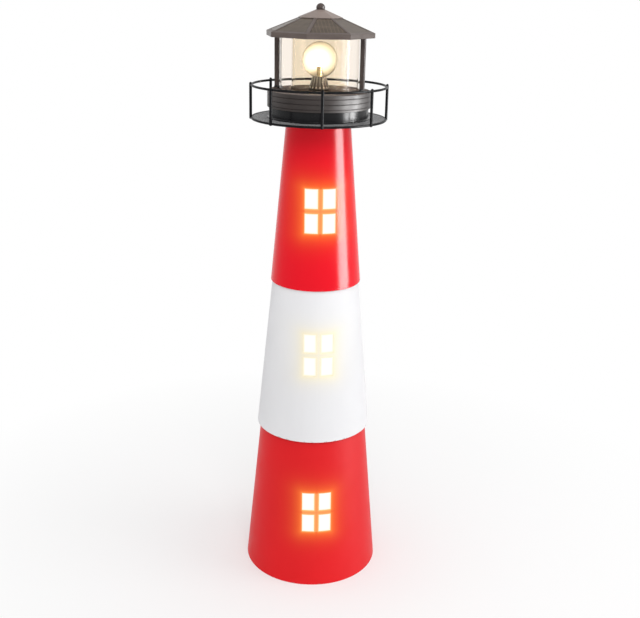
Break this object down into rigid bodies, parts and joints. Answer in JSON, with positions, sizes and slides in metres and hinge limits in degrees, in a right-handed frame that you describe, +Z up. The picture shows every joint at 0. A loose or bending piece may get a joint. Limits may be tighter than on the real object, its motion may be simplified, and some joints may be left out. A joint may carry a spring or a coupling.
{
  "type": "garden lighthouse ornament",
  "caption": "Garden lighthouse ornament: tapered metal tower in stacked sections with lit windows, a railed gallery and a solar lantern head whose reflector turns round its lamp.",
  "frame": {"origin": "centre of the round foot, on the ground", "axes": "+Z up the tower's axis; the windows face -Y; +X to the right seen from the windows' side"},
  "size_m": [0.1348, 0.1348, 0.5596],
  "materials": {
    "red_paint_lower": "satin red powder coat on sheet steel",
    "red_paint_upper": "gloss red paint on sheet steel",
    "white_paint": "satin white powder coat on sheet steel",
    "window_film": "thin warm white diffuser film, lit from inside",
    "black_floor": "black textured powder coat",
    "black_wire": "gloss black paint on steel wire",
    "black_collar": "gloss black paint on sheet steel",
    "lantern_plastic": "dark brown-black moulded plastic, satin",
    "roof_plastic": "dark grey-brown moulded plastic, satin",
    "tray_plastic": "black moulded plastic",
    "switch_plastic": "black plastic",
    "gear_plastic": "natural white gear plastic",
    "clear_lens": "clear plastic tube",
    "lamp_dome": "clear lamp dome, lit",
    "reflector_mirror": "vacuum-plated bowl",
    "solar_film": "amorphous solar film, brown, with fine bus lines",
    "zinc_screws": "zinc plated",
    "black_screws": "black screws",
    "battery_wrap": "plain shrink wrap on a rechargeable cell",
    "spring_metal": "nickel plated spring strip",
    "circuit_board": "green solder mask",
    "motor_can": "plated motor can",
    "shaft_steel": "ground steel",
    "stem_brass": "thin brass tube"
  },
  "bodies": {
    "lower_tower": {"lower_tower_section": "red_paint_lower", "lower_window_film": "window_film"},
    "middle_tower": {"middle_tower_section": "white_paint", "middle_window_film": "window_film"},
    "upper_tower": {"upper_tower_section": "red_paint_upper", "upper_window_film": "window_film", "gallery_plate": "black_floor", "gallery_screws": "zinc_screws", "rail_top_ring": "black_wire", "rail_bottom_ring": "black_wire", "rail_stanchion_1": "black_wire", "rail_stanchion_2": "black_wire", "rail_stanchion_3": "black_wire", "rail_stanchion_4": "black_wire", "rail_stanchion_5": "black_wire", "rail_stanchion_6": "black_wire", "rail_stanchion_7": "black_wire", "rail_stanchion_8": "black_wire", "lantern_collar": "black_collar"},
    "rotor": {"driven_gear": "gear_plastic", "turntable_hub": "lantern_plastic", "reflector_dish": "reflector_mirror"},
    "motor_drive": {"motor_shaft": "shaft_steel", "motor_pinion": "gear_plastic"},
    "switch_knob": {"switch_slider": "switch_plastic"},
    "lantern_head": {"lantern_base": "lantern_plastic", "works_tray": "tray_plastic", "tray_screws": "zinc_screws", "battery_cell": "battery_wrap", "battery_contact_plus": "spring_metal", "battery_contact_minus": "spring_metal", "battery_cover": "tray_plastic", "circuit_board": "circuit_board", "gear_motor": "motor_can", "lamp_stem": "stem_brass", "beacon_led": "lamp_dome", "tower_led": "lamp_dome", "switch_body": "switch_plastic", "outer_lens_tube": "clear_lens", "inner_lens_tube": "clear_lens", "lantern_post_left": "lantern_plastic", "lantern_post_right": "lantern_plastic", "post_screws": "black_screws", "roof_shell": "roof_plastic", "roof_ceiling": "roof_plastic", "roof_cap": "roof_plastic", "finial": "roof_plastic", "solar_cell_1": "solar_film", "solar_cell_2": "solar_film", "solar_cell_3": "solar_film", "solar_cell_4": "solar_film", "solar_cell_5": "solar_film", "solar_cell_6": "solar_film", "solar_cell_7": "solar_film", "solar_cell_8": "solar_film"}
  },
  "joints": [
    {"name": "middle_lift", "type": "slide", "parent": "lower_tower", "child": "middle_tower", "axis": [0, 0, 1], "range_m": [0, 0.04]},
    {"name": "upper_lift", "type": "slide", "parent": "middle_tower", "child": "upper_tower", "axis": [0, 0, 1], "range_m": [0, 0.04]},
    {"name": "head_lift", "type": "slide", "parent": "upper_tower", "child": "lantern_head", "axis": [0, 0, 1], "range_m": [0, 0.045]},
    {"name": "rotor_spin", "type": "hinge", "parent": "lantern_head", "child": "rotor", "pos_m": [0, 0, 0.487], "axis": [0, 0, 1], "continuous": true},
    {"name": "motor_spin", "type": "hinge", "parent": "lantern_head", "child": "motor_drive", "pos_m": [0.00117, -0.01676, 0.4785], "axis": [0, 0, 1], "continuous": true},
    {"name": "switch_slide", "type": "slide", "parent": "lantern_head", "child": "switch_knob", "axis": [0.9976, 0.0698, 0], "range_m": [0, 0.004]}
  ],
  "couplings": [
    {"joint": "motor_spin", "follows": "rotor_spin", "ratio": -3}
  ]
}
